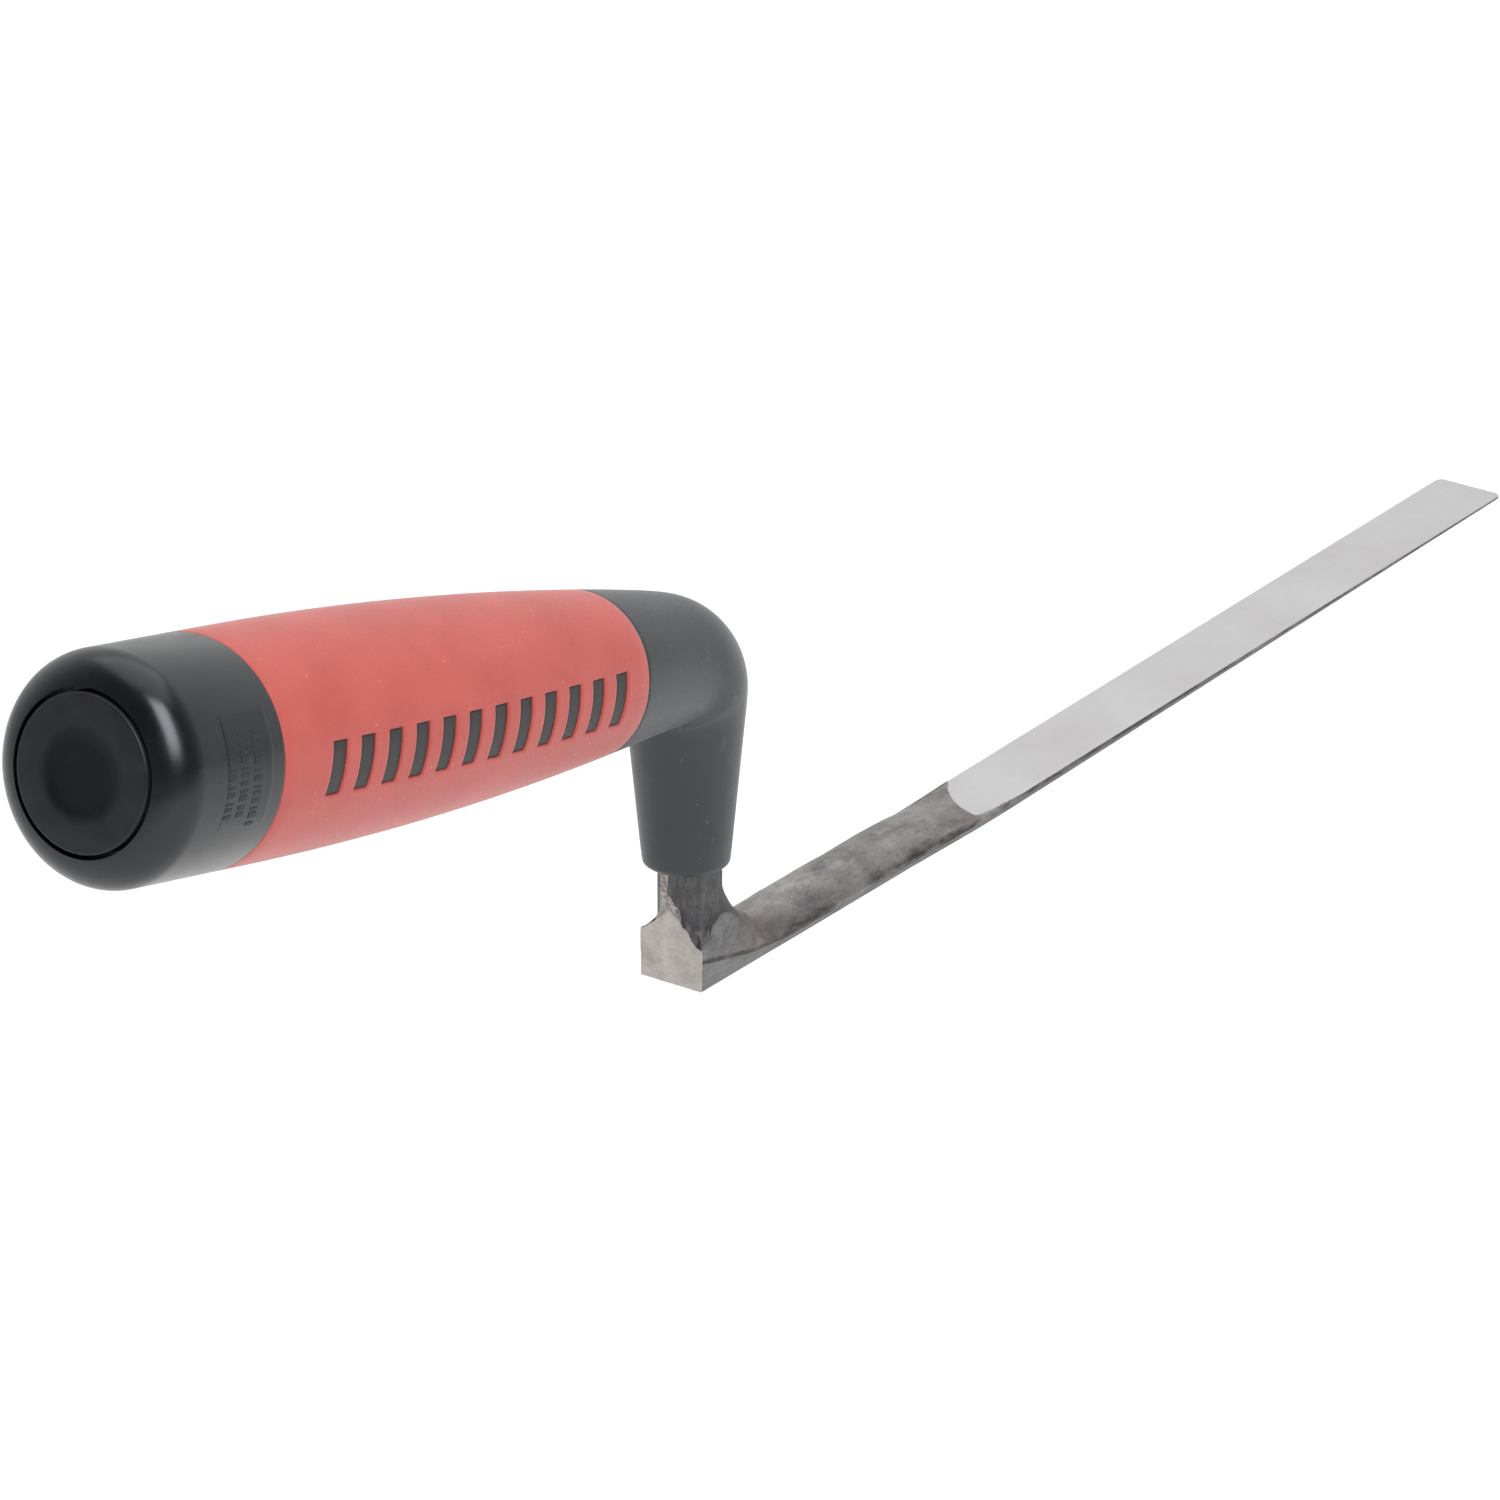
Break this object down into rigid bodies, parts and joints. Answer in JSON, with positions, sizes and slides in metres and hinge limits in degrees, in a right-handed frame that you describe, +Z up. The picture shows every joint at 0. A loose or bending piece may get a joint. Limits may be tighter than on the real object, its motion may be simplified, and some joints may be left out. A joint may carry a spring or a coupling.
{
  "type": "brick jointer",
  "caption": "Narrow flat steel jointing blade drawn from a square heel and short upright shank, cranked up into a tapered soft-grip handle with a rounded butt cap.",
  "frame": {"origin": "foot of the upright neck's axis on the flat sole of the heel", "axes": "+X forward along the blade, +Y to the left, +Z up from the sole towards the handle"},
  "size_m": [0.2851, 0.0264, 0.0783],
  "materials": {
    "forged_steel": "dark oxide forging skin, ground bright on the blade and heel",
    "matt_black_plastic": "matt, finely textured",
    "satin_black_plastic": "satin",
    "red_soft_grip": "matt soft touch",
    "plated_steel": "zinc plated"
  },
  "bodies": {
    "root": {"blade_forging": "forged_steel", "neck_boot": "matt_black_plastic", "handle_core": "matt_black_plastic", "soft_grip": "red_soft_grip", "butt_cap": "satin_black_plastic", "end_plug": "satin_black_plastic", "tang_washer": "plated_steel", "tang_nut": "plated_steel"}
  },
  "joints": []
}
